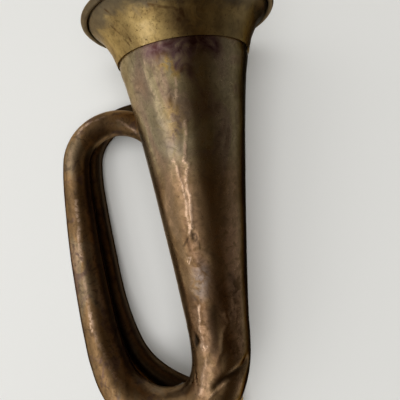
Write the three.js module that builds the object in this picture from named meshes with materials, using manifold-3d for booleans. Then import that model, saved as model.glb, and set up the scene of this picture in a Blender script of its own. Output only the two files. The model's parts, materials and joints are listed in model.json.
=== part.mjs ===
// A duty bugle: copper tube wound twice round, with a brass garland on the bell.
// Millimetres. The bugle lies on its side: +X towards the bell, +Y towards the loops, +Z up.
// It rests on the bell's rim, the mouthpiece's rim and the first lower branch.
import * as THREE from 'three';
import { mergeVertices } from 'three/addons/utils/BufferGeometryUtils.js';
import Module from 'manifold-3d';

const wasm = await Module();
wasm.setup();

// Driving dimensions
const WALL = 0.8;                 // sheet and tube wall
const GAP = 0.3;                  // clearance between neighbouring pieces
const BELL_SIDES = 48;            // facets round the bell
const TUBE_SIDES = 16;            // facets round a tube
const TURNED_SIDES = 24;          // facets round the receiver
const MOUTHPIECE_SIDES = 32;
const RIM_RADIUS = 47.8;          // outermost radius of the rolled rim
const RIM_CENTRE = new THREE.Vector3(94.35, -1, RIM_RADIUS);
const BELL_TILT = THREE.MathUtils.degToRad(0.53);   // the bell axis rises towards the rim
const BEAD_RADIUS = 1.7;          // half thickness of the rolled rim
const RIM_WIRE_RADIUS = 0.6;
const HEM_RADIUS = 1;             // inside of the roll, a gap outside the wire
const GARLAND_REAR = -22.4;       // rear edge of the garland, measured from the rim's plane
const BELL_TAIL = -155;           // where the cone passes into the main bow
const MOUTHPIPE_FRONT = new THREE.Vector3(25.5, -3.2, 8.2);
const MOUTHPIECE_RIM = new THREE.Vector3(-178, -3.2, 13);
const RECEIVER_START = 145;       // distances along the mouthpipe's axis, from its front end
const RECEIVER_END = 166;
const MOUTHPIPE_LENGTH = 152;
const PIPE_RADII = [6.1, 5.2];    // outer radii of the mouthpipe at its front and its rear
const PIPE_LEAD = 12;             // how far the centre line runs on into the mouthpipe
const SHANK_DEPTH = 12;           // how far the mouthpiece goes into the receiver
const SEAT_RADIUS = 5.1;          // bore radius of the receiver where the shank sits
const SLEEVE_MARGIN = 0.1;        // extra clearance where one piece slips over another
const FERRULE_LENGTH = 8;
const FERRULE_SKIN = 0.45;        // thickness of a ferrule's band
const FERRULE_BEAD = 0.6;         // and of the beads at its ends
const HALF_TURN_POINTS = 8;
const RING_RADIUS = 7;            // lanyard rings, to the middle of the wire
const RING_WIRE_RADIUS = 1;
const LUG_THICKNESS = 1.8;
const LUG_HOLE_RADIUS = 1.7;
const LUG_HALF_WIDTH = 2.9;
const LUG_ROOT = 2;               // how deep the lug's plate starts, before the tube is cut out
const LUG_REACH = 3.2;            // from the tube's surface to the middle of the lug's hole

// Outer radius of the bare copper cone against distance from the rim's plane
const CONE_OUTLINE = [
  [BELL_TAIL, 16.3], [-128, 18.8], [-105, 21.3], [-81, 24], [-56, 27.1], [-36, 30],
  [-26, 32.1],
];
// Outer radius of the garland, up to where it turns into the rolled rim
const GARLAND_OUTLINE = [
  [GARLAND_REAR, 33.4], [-16.4, 35.2], [-12.5, 37.1], [-7.5, 40.2], [-4.1, 43.7],
];

// The winding, from the cone's tail to the mouthpipe: each stretch's own points, the start
// left out because the stretch before ends there, and its outer radius at the far end
const TAIL_RADIUS = 16.3;
const WINDING = [
  {
    name: 'main_bow', steps: 20, radius: 9.7,
    points: [[-70, -1, 46.28], [-80, -0.4, 46.2], [-89, 1.5, 45.8], [-97.5, 5.2, 45],
      [-106, 13, 43.3], [-110, 25, 41.2], [-109.3, 37.5, 38.6], [-103.8, 48.5, 35.8],
      [-94, 56.8, 33], [-80.5, 61.8, 30.6], [-66, 64.2, 29.4]],
  },
  {
    name: 'lower_branch_2', steps: 6, radius: 7.5,
    points: [[-50, 65.7, 28.6], [-25, 67.4, 27], [0, 67.8, 25.7], [25.5, 66.9, 25]],
  },
  {
    name: 'front_bow_2', steps: 12, radius: 7.1,
    points: halfTurn([25.5, 42.05], [24.85, 24.85], 25, 17.5),
  },
  {
    name: 'middle_branch', steps: 7, radius: 6.8,
    points: [[0, 12.5, 17.6], [-35, 6, 19.6], [-61, 0.5, 22.6], [-93, -6.2, 24.3]],
  },
  {
    name: 'rear_bow_1', steps: 18, radius: 6.7,
    points: [[-101, -5.6, 24.5], [-108.6, 0.4, 24.2], [-111.5, 12, 22.8], [-106, 26, 20.8],
      [-98, 37.8, 18.6], [-88, 46.8, 16.4], [-76, 52.6, 14], [-52, 58.6, 11]],
  },
  {
    name: 'lower_branch_1', steps: 5, radius: 6.6,
    points: [[-28, 61.2, 9], [0, 63.2, 7.5], [25.5, 63.6, 6.7]],
  },
  {
    name: 'front_bow_1', steps: 14, radius: 6.2,
    points: halfTurn([25.5, 30.2], [31.3, 33.4], 6.7, MOUTHPIPE_FRONT.z),
  },
];

const copper = { color: 0x8a5a3c, roughness: 0.42, metalness: 0.9 };
const brass = { color: 0xa8843c, roughness: 0.38, metalness: 0.9 };
const silver = { color: 0xb9b6ad, roughness: 0.3, metalness: 0.95 };
const solder = { color: 0x77726a, roughness: 0.6, metalness: 0.8 };

const bugle = new THREE.Group();

function add(name, geometry, finish) {
  const mesh = new THREE.Mesh(geometry, new THREE.MeshStandardMaterial(finish));
  mesh.name = name;
  bugle.add(mesh);
  return mesh;
}

function signedVolume(geometry) {
  const p = geometry.attributes.position;
  const index = geometry.index;
  const a = new THREE.Vector3();
  const b = new THREE.Vector3();
  const c = new THREE.Vector3();
  let volume = 0;
  for (let i = 0; i < index.count; i += 3) {
    a.fromBufferAttribute(p, index.getX(i));
    b.fromBufferAttribute(p, index.getX(i + 1));
    c.fromBufferAttribute(p, index.getX(i + 2));
    volume += a.dot(b.cross(c)) / 6;
  }
  return volume;
}

// Shared vertices merged, and every face turned outwards
function closed(geometry) {
  geometry.deleteAttribute('normal');
  geometry.deleteAttribute('uv');
  const merged = mergeVertices(geometry, 1e-5);
  if (signedVolume(merged) < 0) {
    const index = merged.index.array;
    for (let i = 0; i < index.length; i += 3) {
      [index[i], index[i + 1]] = [index[i + 1], index[i]];
    }
  }
  return merged;
}

// A solid of revolution about +Y from [distance along the axis, radius] pairs
function turned(outline, sides) {
  const profile = outline.map(([along, radius]) => new THREE.Vector2(radius, along));
  return new THREE.LatheGeometry(profile, sides);
}

// The same solid with its axis laid from one place along a direction
function turnedAlong(outline, sides, start, direction) {
  const geometry = turned(outline, sides);
  const turn = new THREE.Quaternion().setFromUnitVectors(new THREE.Vector3(0, 1, 0), direction);
  geometry.applyQuaternion(turn);
  geometry.translate(start.x, start.y, start.z);
  return closed(geometry);
}

// A line moved sideways, towards the axis
function offsetLine(line, distance) {
  return line.map((point, i) => {
    const before = line[Math.max(i - 1, 0)];
    const after = line[Math.min(i + 1, line.length - 1)];
    const run = new THREE.Vector2(after[0] - before[0], after[1] - before[1]).normalize();
    return [point[0] + run.y * distance, point[1] - run.x * distance];
  });
}

// The closed outline of sheet metal whose outer side is a line
const sheetOutline = (outer) => [...outer, ...offsetLine(outer, WALL).reverse(), outer[0]];

// A straight turned tube bent onto a curve
function bent(outline, length, sides, curve, steps) {
  const geometry = turned(outline, sides);
  const frames = curve.computeFrenetFrames(steps);
  const p = geometry.attributes.position;
  const centre = new THREE.Vector3();
  for (let i = 0; i < p.count; i += 1) {
    const row = Math.round((p.getY(i) / length) * steps);
    curve.getPointAt(row / steps, centre);
    centre.addScaledVector(frames.normals[row], p.getX(i));
    centre.addScaledVector(frames.binormals[row], p.getZ(i));
    p.setXYZ(i, centre.x, centre.y, centre.z);
  }
  return closed(geometry);
}

// A conical tube along a curve: hollow with a wall, or solid and grown by a margin
function tubeAlong(curve, [r0, r1], steps, wall, grow = 0) {
  const length = curve.getLength();
  const outer = [];
  for (let i = 0; i <= steps; i += 1) {
    const t = i / steps;
    outer.push([t * length, THREE.MathUtils.lerp(r0, r1, t) + grow]);
  }
  const back = wall > 0
    ? outer.map(([along, radius]) => [along, radius - wall]).reverse()
    : outer.map(([along]) => [along, 0]).reverse();
  return bent([...outer, ...back, outer[0]], length, TUBE_SIDES, curve, steps);
}

// Points of half a turn in plan, from the loop side to the cone side, changing height
function halfTurn([x, y], [reach, halfWidth], startHeight, endHeight) {
  const points = [];
  for (let i = 1; i <= HALF_TURN_POINTS; i += 1) {
    const angle = Math.PI * (0.5 - i / HALF_TURN_POINTS);
    points.push([
      x + reach * Math.cos(angle), y + halfWidth * Math.sin(angle),
      THREE.MathUtils.lerp(startHeight, endHeight, i / HALF_TURN_POINTS),
    ]);
  }
  return points;
}

// Part of a longer curve, between two values of its parameter
class Stretch extends THREE.Curve {
  constructor(curve, first, last) {
    super();
    Object.assign(this, { curve, first, last });
  }

  getPoint(t, target = new THREE.Vector3()) {
    return this.curve.getPoint(THREE.MathUtils.lerp(this.first, this.last, t), target);
  }
}

// A curve with a butt joint's gap taken off its start
class Shortened extends THREE.Curve {
  constructor(curve, cut) {
    super();
    this.curve = curve;
    this.first = cut / curve.getLength();
  }

  getPoint(t, target = new THREE.Vector3()) {
    return this.curve.getPointAt(this.first + t * (1 - this.first), target);
  }
}

const toSolid = (geometry) => {
  const merged = closed(geometry);
  return new wasm.Manifold(new wasm.Mesh({
    numProp: 3,
    vertProperties: new Float32Array(merged.attributes.position.array),
    triVerts: new Uint32Array(merged.index.array),
  }));
};

const toGeometry = (solid) => {
  const mesh = solid.getMesh();
  const geometry = new THREE.BufferGeometry();
  geometry.setAttribute('position', new THREE.BufferAttribute(mesh.vertProperties, 3));
  geometry.setIndex(new THREE.BufferAttribute(mesh.triVerts, 1));
  return geometry;
};

// ---- Bell ----
const bellDirection = new THREE.Vector3(Math.cos(BELL_TILT), 0, Math.sin(BELL_TILT));
const bellAxisAt = (along) => RIM_CENTRE.clone().addScaledVector(bellDirection, along);

// The cone carries on under the garland, a gap inside it
const CONE_OUTSIDE = [...CONE_OUTLINE, ...offsetLine(GARLAND_OUTLINE, WALL + GAP)];

function coneRadiusAt(along) {
  const i = CONE_OUTSIDE.findIndex(([place]) => place >= along);
  const [a, ra] = CONE_OUTSIDE[i - 1];
  const [b, rb] = CONE_OUTSIDE[i];
  return THREE.MathUtils.lerp(ra, rb, (along - a) / (b - a));
}

const bellPiece = (outline) => turnedAlong(outline, BELL_SIDES, RIM_CENTRE, bellDirection);
add('bell_cone', bellPiece(sheetOutline(CONE_OUTSIDE)), copper);

// The garland's edge goes over the front of the rim wire and rolls back behind it
const BEAD_CENTRE = [-BEAD_RADIUS, RIM_RADIUS - BEAD_RADIUS];
function beadPoint(radius, degrees) {
  const angle = THREE.MathUtils.degToRad(degrees);
  return [BEAD_CENTRE[0] + radius * Math.cos(angle), BEAD_CENTRE[1] + radius * Math.sin(angle)];
}
function garlandOutline() {
  const outside = [];
  const inside = [];
  for (let degrees = -75; degrees <= 225; degrees += 30) {
    outside.push(beadPoint(BEAD_RADIUS, degrees));
    inside.unshift(beadPoint(HEM_RADIUS, degrees));
  }
  const under = offsetLine(GARLAND_OUTLINE, WALL);
  return [...under, ...outside, ...inside, ...GARLAND_OUTLINE.toReversed(), under[0]];
}
add('bell_garland', bellPiece(garlandOutline()), brass);

const wire = [];
for (let degrees = 0; degrees <= 360; degrees += 60) {
  wire.push(beadPoint(RIM_WIRE_RADIUS, degrees));
}
add('rim_wire', bellPiece(wire), solder);

// ---- Mouthpipe's axis, shared by the receiver and the mouthpiece ----
const pipeVector = MOUTHPIECE_RIM.clone().sub(MOUTHPIPE_FRONT);
const pipeLength = pipeVector.length();
const pipeDirection = pipeVector.normalize();
const onPipe = (outline, sides = TUBE_SIDES) => (
  turnedAlong(outline, sides, MOUTHPIPE_FRONT, pipeDirection));
const pipeAt = (x) => MOUTHPIPE_FRONT.clone().addScaledVector(
  pipeDirection, (x - MOUTHPIPE_FRONT.x) / pipeDirection.x);

// ---- Wound tube: one smooth centre line through the cone's tail and the mouthpipe ----
const tail = bellAxisAt(BELL_TAIL);
const places = [bellAxisAt(BELL_TAIL + 20), tail];
for (const { points } of WINDING) {
  places.push(...points.map(([x, y, z]) => new THREE.Vector3(x, y, z)));
}
places.push(pipeAt(MOUTHPIPE_FRONT.x - PIPE_LEAD));
const centreLine = new THREE.CatmullRomCurve3(places, false, 'centripetal');

const tubes = {};
let reached = 1;
let startRadius = TAIL_RADIUS;
for (const { name, steps, radius, points } of WINDING) {
  const end = reached + points.length;
  const last = places.length - 1;
  const curve = new Stretch(centreLine, reached / last, end / last);
  tubes[name] = { curve, steps, radii: [startRadius, radius] };
  add(name, tubeAlong(new Shortened(curve, GAP), tubes[name].radii, steps, WALL), copper);
  reached = end;
  startRadius = radius;
}

// ---- Mouthpipe, receiver and mouthpiece ----
const pipeEnds = [[3 * GAP, PIPE_RADII[0]], [MOUTHPIPE_LENGTH, PIPE_RADII[1]]];
add('mouthpipe', onPipe(sheetOutline(pipeEnds)), copper);

const sleeve = PIPE_RADII[1] + GAP + SLEEVE_MARGIN;
const shoulder = MOUTHPIPE_LENGTH + GAP;
add('mouthpiece_receiver', onPipe([
  [RECEIVER_START, sleeve], [RECEIVER_START, 6.6], [RECEIVER_START + 2, 7.1],
  [RECEIVER_END - 4, 7.1], [RECEIVER_END - 3.4, 7.7], [RECEIVER_END - 0.6, 7.7],
  [RECEIVER_END, 7.2], [RECEIVER_END, SEAT_RADIUS + GAP], [shoulder, SEAT_RADIUS - 0.6 + GAP],
  [shoulder, sleeve], [RECEIVER_START, sleeve],
], TURNED_SIDES), brass);

// Shank and stem outside, then the rim, the cup, the throat and the backbore inside
const tip = RECEIVER_END - SHANK_DEPTH;
const rim = pipeLength;
add('mouthpiece', onPipe([
  [tip, 4.5], [RECEIVER_END + 3, 5.1], [rim - 30, 5.2], [rim - 24, 6], [rim - 18, 9.2],
  [rim - 12, 11], [rim - 6, 11.6], [rim - 5, 12.6], [rim - 1.5, 13], [rim - 0.4, 12.2],
  [rim, 10.8], [rim - 0.6, 9], [rim - 4, 8], [rim - 9, 6.8], [rim - 14, 4.2], [rim - 17, 2.2],
  [rim - 22, 2], [tip, 3.6], [tip, 4.5],
], MOUTHPIECE_SIDES), silver);

// ---- Ferrules over the joints that lie under the cone ----
function ferrule(name, centre, direction, radius) {
  const half = FERRULE_LENGTH / 2;
  const bore = radius + GAP;
  const skin = bore + FERRULE_SKIN;
  const bead = bore + FERRULE_BEAD;
  add(name, turnedAlong([
    [-half, bore], [-half, bead], [-half + 1.4, bead], [-half + 1.8, skin],
    [half - 1.8, skin], [half - 1.4, bead], [half, bead], [half, bore], [-half, bore],
  ], TUBE_SIDES, centre, direction.clone().normalize()), brass);
}
// Each one's share of the middle branch, and the tube's radius inside it
for (const [name, share, radius] of [
  ['ferrule_front_bow_2', 0.05, 7.2], ['ferrule_rear_bow_1', 0.98, 7.05],
]) {
  const { curve } = tubes.middle_branch;
  ferrule(name, curve.getPointAt(share), curve.getTangentAt(share), radius);
}
ferrule('ferrule_front_bow_1',
  MOUTHPIPE_FRONT.clone().addScaledVector(pipeDirection, FERRULE_LENGTH / 2 + 1),
  pipeDirection, PIPE_RADII[0] + SLEEVE_MARGIN);

// ---- Soldered stays: a short post between two pieces, its ends shaped to both ----
function solidTube(name) {
  const { curve, steps, radii } = tubes[name];
  return toSolid(tubeAlong(curve, radii, steps, 0, GAP + SLEEVE_MARGIN));
}
const solidCone = () => toSolid(bellPiece([
  [BELL_TAIL, 0], ...CONE_OUTSIDE.map(([along, radius]) => [along, radius + GAP]),
  [CONE_OUTSIDE.at(-1)[0], 0],
]));
const solidPipe = () => toSolid(onPipe([
  [0, 0], [0, PIPE_RADII[0] + GAP + SLEEVE_MARGIN], [MOUTHPIPE_LENGTH, sleeve],
  [MOUTHPIPE_LENGTH, 0]]));

function stay(name, from, to, width, depth, solids) {
  const direction = to.clone().sub(from);
  const post = new THREE.BoxGeometry(width, direction.length(), depth, 1, 1, 1);
  post.applyQuaternion(new THREE.Quaternion().setFromUnitVectors(
    new THREE.Vector3(0, 1, 0), direction.clone().normalize()));
  const middle = from.clone().add(to).multiplyScalar(0.5);
  post.translate(middle.x, middle.y, middle.z);
  const cut = solids.reduce((left, solid) => left.subtract(solid), toSolid(post));
  const bodies = cut.decompose().sort((a, b) => b.volume() - a.volume());
  add(name, toGeometry(bodies[0]), solder);
}

const coneAt = (x) => bellAxisAt((x - RIM_CENTRE.x) / bellDirection.x);
function nearestOn(curve, x) {
  let best = curve.getPointAt(0);
  for (let i = 1; i <= 200; i += 1) {
    const place = curve.getPointAt(i / 200);
    if (Math.abs(place.x - x) < Math.abs(best.x - x)) best = place;
  }
  return best;
}
const onTube = (name, x) => nearestOn(tubes[name].curve, x);
const CONE_STAYS = [['stay_cone_front', -8], ['stay_cone_rear', -48]];
const PIPE_STAY_X = -76;
const BRANCH_STAY_X = 16;
const REAR_CROSSING = { rear_bow_1: 0.44, main_bow: 0.4 };   // where the two bows cross

for (const [name, x] of CONE_STAYS) {
  stay(name, onTube('middle_branch', x), coneAt(x), 7, 6,
    [solidTube('middle_branch'), solidCone()]);
}
stay('stay_mouthpipe', pipeAt(PIPE_STAY_X), onTube('middle_branch', PIPE_STAY_X), 7, 6,
  [solidPipe(), solidTube('middle_branch')]);
const crossing = (name) => tubes[name].curve.getPointAt(REAR_CROSSING[name]);
stay('stay_rear_bows', crossing('rear_bow_1'), crossing('main_bow'), 6, 6,
  [solidTube('rear_bow_1'), solidTube('main_bow')]);
stay('stay_lower_branches', onTube('lower_branch_1', BRANCH_STAY_X),
  onTube('lower_branch_2', BRANCH_STAY_X), 5, 5,
  [solidTube('lower_branch_1'), solidTube('lower_branch_2')]);

// ---- Lanyard lugs and their rings ----
// A lug stands on a surface point along its outward direction; its hole's axis is given
function lug(name, surface, outward, holeAxis, cutter) {
  const half = LUG_HALF_WIDTH;
  const shape = new THREE.Shape();
  shape.moveTo(-half, -LUG_ROOT);
  shape.lineTo(half, -LUG_ROOT);
  shape.lineTo(half, LUG_REACH);
  shape.absarc(0, LUG_REACH, half, 0, Math.PI, false);
  shape.closePath();
  const hole = new THREE.Path();
  hole.absarc(0, LUG_REACH, LUG_HOLE_RADIUS, 0, Math.PI * 2, true);
  shape.holes.push(hole);
  const plate = new THREE.ExtrudeGeometry(shape, {
    depth: LUG_THICKNESS, bevelEnabled: false, curveSegments: 8,
  });
  plate.translate(0, 0, -LUG_THICKNESS / 2);
  const side = new THREE.Vector3().crossVectors(outward, holeAxis);
  plate.applyMatrix4(new THREE.Matrix4().makeBasis(side, outward, holeAxis));
  plate.translate(surface.x, surface.y, surface.z);
  add(name, toGeometry(toSolid(plate).subtract(cutter)), brass);
  return surface.clone().addScaledVector(outward, LUG_REACH);
}
// A ring that hangs from a lug's hole, its plane across the given direction
function hangingRing(name, hole, planeNormal) {
  const ring = new THREE.TorusGeometry(RING_RADIUS, RING_WIRE_RADIUS, 8, 28);
  ring.applyQuaternion(new THREE.Quaternion().setFromUnitVectors(
    new THREE.Vector3(0, 0, 1), planeNormal));
  ring.translate(hole.x, hole.y, hole.z - RING_RADIUS);
  add(name, closed(ring), brass);
}

const LUG_X = 30;
const downRight = new THREE.Vector3(0, -Math.SQRT1_2, -Math.SQRT1_2);
const frontSurface = coneAt(LUG_X).addScaledVector(downRight, coneRadiusAt(LUG_X - RIM_CENTRE.x));
const frontHole = lug('lanyard_lug_front', frontSurface, downRight,
  new THREE.Vector3(1, 0, 0), solidCone());
hangingRing('lanyard_ring_front', frontHole, new THREE.Vector3(0, 1, 0));

const rearwards = new THREE.Vector3(-1, 0, 0);
const APEX = 0.52;                // how far along the main bow its rearmost point is
const apex = tubes.main_bow.curve.getPointAt(APEX);
const apexRadius = THREE.MathUtils.lerp(...tubes.main_bow.radii, APEX);
const rearHole = lug('lanyard_lug_rear', apex.clone().addScaledVector(rearwards, apexRadius),
  rearwards, new THREE.Vector3(0, 1, 0), solidTube('main_bow'));
hangingRing('lanyard_ring_rear', rearHole, new THREE.Vector3(1, 0, 0));

// The origin is under the middle of the whole bugle, on the surface it lies on
const box = new THREE.Box3().setFromObject(bugle, true);
const centre = box.getCenter(new THREE.Vector3());
bugle.position.set(-centre.x, -centre.y, -box.min.z);

export default bugle;
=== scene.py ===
import json
from math import cos, pi, radians, sin

import bpy
import numpy as np
from mathutils import Matrix, Vector, noise


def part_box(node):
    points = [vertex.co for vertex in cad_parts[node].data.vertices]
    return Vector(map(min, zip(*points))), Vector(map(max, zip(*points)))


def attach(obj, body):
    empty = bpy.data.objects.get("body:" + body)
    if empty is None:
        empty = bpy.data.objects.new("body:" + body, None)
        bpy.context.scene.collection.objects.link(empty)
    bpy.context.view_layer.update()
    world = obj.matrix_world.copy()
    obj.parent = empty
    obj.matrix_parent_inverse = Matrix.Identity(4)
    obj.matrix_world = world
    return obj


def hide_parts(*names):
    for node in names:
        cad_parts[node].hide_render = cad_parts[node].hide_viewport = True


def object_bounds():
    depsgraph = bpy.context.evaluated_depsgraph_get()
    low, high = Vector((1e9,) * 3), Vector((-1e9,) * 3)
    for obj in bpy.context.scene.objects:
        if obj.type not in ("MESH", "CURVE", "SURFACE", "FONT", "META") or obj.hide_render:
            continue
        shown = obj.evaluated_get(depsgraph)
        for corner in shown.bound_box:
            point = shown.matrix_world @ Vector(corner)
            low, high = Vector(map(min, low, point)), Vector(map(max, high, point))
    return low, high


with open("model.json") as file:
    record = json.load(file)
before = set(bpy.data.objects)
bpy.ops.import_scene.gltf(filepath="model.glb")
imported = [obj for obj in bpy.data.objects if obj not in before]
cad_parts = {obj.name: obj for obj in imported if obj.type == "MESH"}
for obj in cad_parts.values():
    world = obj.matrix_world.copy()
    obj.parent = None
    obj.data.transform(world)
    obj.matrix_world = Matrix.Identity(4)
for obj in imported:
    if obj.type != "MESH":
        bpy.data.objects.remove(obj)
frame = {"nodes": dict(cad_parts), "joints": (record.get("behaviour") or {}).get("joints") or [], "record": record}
cad_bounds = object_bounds()

MM = 0.001

# ---- Places that come from the frame ----
record = frame["record"]
mounts = {mount["name"]: mount for mount in record["mounts"]}
joints = {joint["name"]: joint for joint in frame["joints"]}
BELL_AXIS = Vector(mounts["bell_rim"]["axis"]).normalized()
PIPE_AXIS = Vector(joints["mouthpiece_pull"]["axis"]).normalized()


def middle(node):
    low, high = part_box(node)
    return (low + high) / 2


RIM_RADIUS = 47.8                 # outermost radius of the rolled rim
BEAD_RADIUS = 1.7                 # half thickness of the rolled rim
WALL = 0.8                        # sheet and tube wall
GAP = 0.3                         # clearance between neighbouring pieces
RIM_CENTRE = middle("rim_wire") + BELL_AXIS * BEAD_RADIUS * MM
# The design's own origin: its rim centre stands at (94.35, -1, 47.8)
ORIGIN = RIM_CENTRE - Vector((94.35, -1, RIM_RADIUS)) * MM


def place(x, y, z):
    """A point given in the design's millimetres, in the frame's metres."""
    return ORIGIN + Vector((x, y, z)) * MM


# ---- Driving dimensions, as the design has them ----
BELL_TAIL = 155                   # the cone's length, from the rim's plane
GARLAND_REAR = 22.4               # rear edge of the garland, from the rim's plane
# Outer radius against distance behind the rim's plane. A scratch script fitted the cone's radii
# to outline points picked by eye on the photo.
CONE_OUTLINE = [(155, 16.3), (128, 18.8), (105, 21.3), (81, 24), (56, 27.1), (36, 30), (26, 32.1)]
GARLAND_OUTLINE = [(GARLAND_REAR, 33.4), (16.4, 35.2), (12.5, 37.1), (7.5, 40.2), (4.1, 43.7)]
MOUTHPIPE_FRONT = (25.5, -3.2, 8.2)
MOUTHPIECE_END = (-178, -3.2, 13)
TAIL_RADIUS = 16.3
HALF_TURN_POINTS = 8


def half_turn(x, y, reach, half_width, start_height, end_height):
    """Points of half a turn in plan, from the loop side to the cone side, changing height."""
    points = []
    for i in range(1, HALF_TURN_POINTS + 1):
        angle = pi * (0.5 - i / HALF_TURN_POINTS)
        height = start_height + (end_height - start_height) * i / HALF_TURN_POINTS
        points.append((x + reach * cos(angle), y + half_width * sin(angle), height))
    return points


# The wound tube's stretches: name, outer radius at its far end, the centre line's points
WINDING = [
    ("main_bow", 9.7, [
        (-70, -1, 46.28), (-80, -0.4, 46.2), (-89, 1.5, 45.8), (-97.5, 5.2, 45),
        (-106, 13, 43.3), (-110, 25, 41.2), (-109.3, 37.5, 38.6), (-103.8, 48.5, 35.8),
        (-94, 56.8, 33), (-80.5, 61.8, 30.6), (-66, 64.2, 29.4)]),
    ("lower_branch_2", 7.5, [(-50, 65.7, 28.6), (-25, 67.4, 27), (0, 67.8, 25.7), (25.5, 66.9, 25)]),
    ("front_bow_2", 7.1, half_turn(25.5, 42.05, 24.85, 24.85, 25, 17.5)),
    ("middle_branch", 6.8, [(0, 12.5, 17.6), (-35, 6, 19.6), (-61, 0.5, 22.6), (-93, -6.2, 24.3)]),
    ("rear_bow_1", 6.7, [
        (-101, -5.6, 24.5), (-108.6, 0.4, 24.2), (-111.5, 12, 22.8), (-106, 26, 20.8),
        (-98, 37.8, 18.6), (-88, 46.8, 16.4), (-76, 52.6, 14), (-52, 58.6, 11)]),
    ("lower_branch_1", 6.6, [(-28, 61.2, 9), (0, 63.2, 7.5), (25.5, 63.6, 6.7)]),
    ("front_bow_1", 6.2, half_turn(25.5, 30.2, 31.3, 33.4, 6.7, MOUTHPIPE_FRONT[2])),
]
SIDES = 192                       # round the cone
SIDE_STEP = {"main_bow": 2}       # tubes use every second or every fourth of the cone's sides
THIN_SIDE_STEP = 4

# ---- Meshes ----


def new_object(name, vertices, faces, body, material):
    mesh = bpy.data.meshes.new(name)
    mesh.from_pydata([tuple(v) for v in vertices], [], faces)
    mesh.update()
    mesh.shade_smooth()
    mesh.materials.append(material)
    obj = bpy.data.objects.new(name, mesh)
    bpy.context.scene.collection.objects.link(obj)
    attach(obj, body)
    return obj


def loft_faces(rings, sides):
    """Quads of a closed solid whose last ring joins its first, all rings with the same sides."""
    faces = []
    for i in range(rings):
        a = i * sides
        b = ((i + 1) % rings) * sides
        for k in range(sides):
            n = (k + 1) % sides
            faces.append((a + k, a + n, b + n, b + k))
    return faces


def faces_outwards(vertices, faces):
    """The same faces, turned so that the closed solid's volume is positive."""
    v = np.asarray(vertices, float)
    f = np.asarray(faces)
    centre = v.mean(0)
    a, b, c = (v[f[:, i]] - centre for i in range(3))
    d = v[f[:, 3]] - centre
    volume = np.einsum("ij,ij->i", a, np.cross(b, c)).sum()
    volume += np.einsum("ij,ij->i", a, np.cross(c, d)).sum()
    if volume < 0:
        return [tuple(reversed(face)) for face in faces]
    return faces


def loft(name, grid, body, material, normals=None, sharp=40):
    """A closed solid from a grid of rings, shaded by its own normals where they are given."""
    rings, sides = grid.shape[:2]
    vertices = grid.reshape(-1, 3)
    faces = faces_outwards(vertices, loft_faces(rings, sides))
    obj = new_object(name, vertices, faces, body, material)
    if normals is None:
        obj.data.set_sharp_from_angle(angle=radians(sharp))
    else:
        obj.data.normals_split_custom_set_from_vertices([tuple(n) for n in normals.reshape(-1, 3)])
    return obj


def basis(axis):
    """Two directions across an axis: the first is as near to up as it can be."""
    side = axis.cross(Vector((0, 0, 1))).normalized()
    return side.cross(axis).normalized(), side


def turned(outline, sides, start, axis):
    """A grid of rings from (distance along the axis, radius) pairs in millimetres."""
    up, side = (np.array(v) for v in basis(axis))
    angles = np.linspace(0, 2 * pi, sides, endpoint=False)
    round_it = np.cos(angles)[:, None] * up + np.sin(angles)[:, None] * side
    rings = [np.array(start + axis * along * MM) + round_it * radius * MM
             for along, radius in outline]
    return np.array(rings)


def smooth_line(points, steps):
    """A smooth line through points, by Catmull-Rom spans of equal steps."""
    p = [np.array(q, float) for q in points]
    p = [2 * p[0] - p[1], *p, 2 * p[-1] - p[-2]]
    line = []
    for a, b, c, d in zip(p, p[1:], p[2:], p[3:]):
        for t in np.linspace(0, 1, steps, endpoint=False):
            line.append(0.5 * (2 * b + (c - a) * t + (2 * a - 5 * b + 4 * c - d) * t * t
                               + (3 * b - a - 3 * c + d) * t ** 3))
    return [tuple(q) for q in line] + [tuple(p[-2])]


def offset_line(line, distance):
    """A (distance, radius) line moved towards the axis; it runs from the tail to the rim."""
    p = np.array(line, float)
    run = np.gradient(p, axis=0)
    run /= np.linalg.norm(run, axis=1)[:, None]
    return [tuple(q) for q in p + np.stack([run[:, 1], -run[:, 0]], 1) * distance]


def grid_normals(grid):
    """Outward unit normals of an open grid of rings."""
    along = np.gradient(grid, axis=0)
    across = np.roll(grid, -1, 1) - np.roll(grid, 1, 1)
    normals = np.cross(across, along)
    normals /= np.linalg.norm(normals, axis=2)[:, :, None]
    centres = grid.mean(1, keepdims=True)
    if np.einsum("ijk,ijk->", normals, grid - centres) < 0:
        normals = -normals
    return normals


# ---- The tube's shape: one surface from the garland through the whole winding ----
CONE_STEP = 1.0                   # between rings of the cone
TUBE_STEP = 1.5                   # between rings of the winding


def centripetal(points, per_span):
    """Dense points on the centripetal Catmull-Rom curve; span i starts at index i * per_span."""
    p = [np.array(q, float) for q in points]
    p = [2 * p[0] - p[1], *p, 2 * p[-1] - p[-2]]
    line = []
    for a, b, c, d in zip(p, p[1:], p[2:], p[3:]):
        t0, t1, t2 = (np.linalg.norm(v - u) ** 0.5 for u, v in ((a, b), (b, c), (c, d)))
        m1 = ((b - a) / t0 - (c - a) / (t0 + t1) + (c - b) / t1) * t1
        m2 = ((c - b) / t1 - (d - b) / (t1 + t2) + (d - c) / t2) * t1
        for t in np.linspace(0, 1, per_span, endpoint=False):
            line.append((2 * t ** 3 - 3 * t * t + 1) * b + (t ** 3 - 2 * t * t + t) * m1
                        + (3 * t * t - 2 * t ** 3) * c + (t ** 3 - t * t) * m2)
    return np.array(line + [p[-2]])


def bell_axis_at(behind):
    return RIM_CENTRE - BELL_AXIS * behind * MM


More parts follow.
